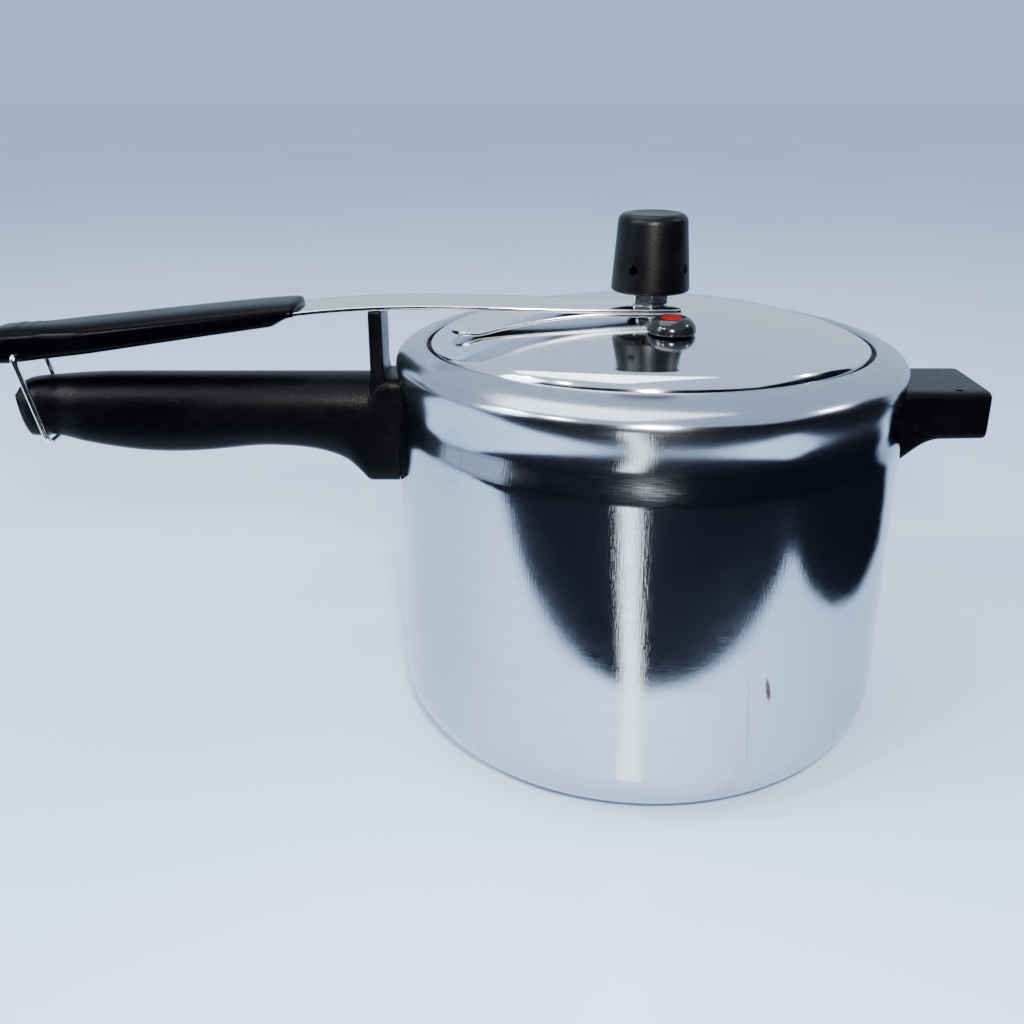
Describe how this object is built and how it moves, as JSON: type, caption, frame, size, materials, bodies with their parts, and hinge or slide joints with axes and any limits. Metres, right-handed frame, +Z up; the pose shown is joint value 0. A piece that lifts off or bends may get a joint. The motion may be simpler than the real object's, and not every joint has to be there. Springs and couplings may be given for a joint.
{
  "type": "stovetop pressure cooker",
  "caption": "Round pot with a drawn-in neck and an inner oval lid, held by a spring arm that rests on a handle post and hooks down with a wire bail; weight valve and safety plug.",
  "frame": {"origin": "centre of the flat underside of the pot", "axes": "+Z up through the weight, -X along the long handle, +X towards the helper handle"},
  "size_m": [0.435, 0.22, 0.2315],
  "materials": {
    "polished_aluminium": "polished, with fine turning lines",
    "rivet_aluminium": "plain",
    "bracket_steel": "plain",
    "arm_steel": "bright plating",
    "stem_brass": "nickel-toned brass",
    "bakelite": "black moulded resin with pale specks",
    "grip_plastic": "glossy black",
    "weight_plastic": "half-matt black",
    "valve_rubber": "black rubber",
    "gasket_rubber": "dark grey rubber",
    "plug_red": "red silicone"
  },
  "bodies": {
    "pot": {"pot_body": "polished_aluminium", "long_bracket": "bracket_steel", "long_rivets": "rivet_aluminium", "long_handle": "bakelite", "long_screw": "bracket_steel", "helper_bracket": "bracket_steel", "helper_rivets": "rivet_aluminium", "helper_handle": "bakelite", "helper_screw": "bracket_steel"},
    "lid_and_arm": {"lid_shell": "polished_aluminium", "lid_gasket": "gasket_rubber", "valve_stem": "stem_brass", "stem_spacer": "arm_steel", "stem_seal": "gasket_rubber", "stem_lower_nut": "bracket_steel", "leaf_spring": "arm_steel", "spring_arm": "arm_steel", "arm_nut": "arm_steel", "safety_valve_body": "valve_rubber", "grip_top": "grip_plastic", "grip_bottom": "grip_plastic", "grip_rivets": "rivet_aluminium"},
    "bail": {"bail_wire": "arm_steel"},
    "weight": {"weight_cap": "weight_plastic", "weight_core": "stem_brass"},
    "plug": {"safety_plug": "plug_red"}
  },
  "joints": [
    {"name": "arm_lift", "type": "hinge", "parent": "pot", "child": "lid_and_arm", "pos_m": [-0.1176, 0, 0.19276], "axis": [0, 1, 0], "range_deg": [0, 2.5]},
    {"name": "bail_swing", "type": "hinge", "parent": "lid_and_arm", "child": "bail", "pos_m": [-0.273, 0, 0.17299], "axis": [0, 1, 0], "range_deg": [0, 110]},
    {"name": "weight_lift", "type": "slide", "parent": "lid_and_arm", "child": "weight", "axis": [0, 0, 1], "range_m": [0, 0.03]},
    {"name": "safety_plug_pop", "type": "slide", "parent": "lid_and_arm", "child": "plug", "axis": [0, 0, 1], "range_m": [0, 0.005]}
  ],
  "couplings": [
    {"joint": "bail_swing", "follows": "arm_lift", "ratio": 44}
  ]
}
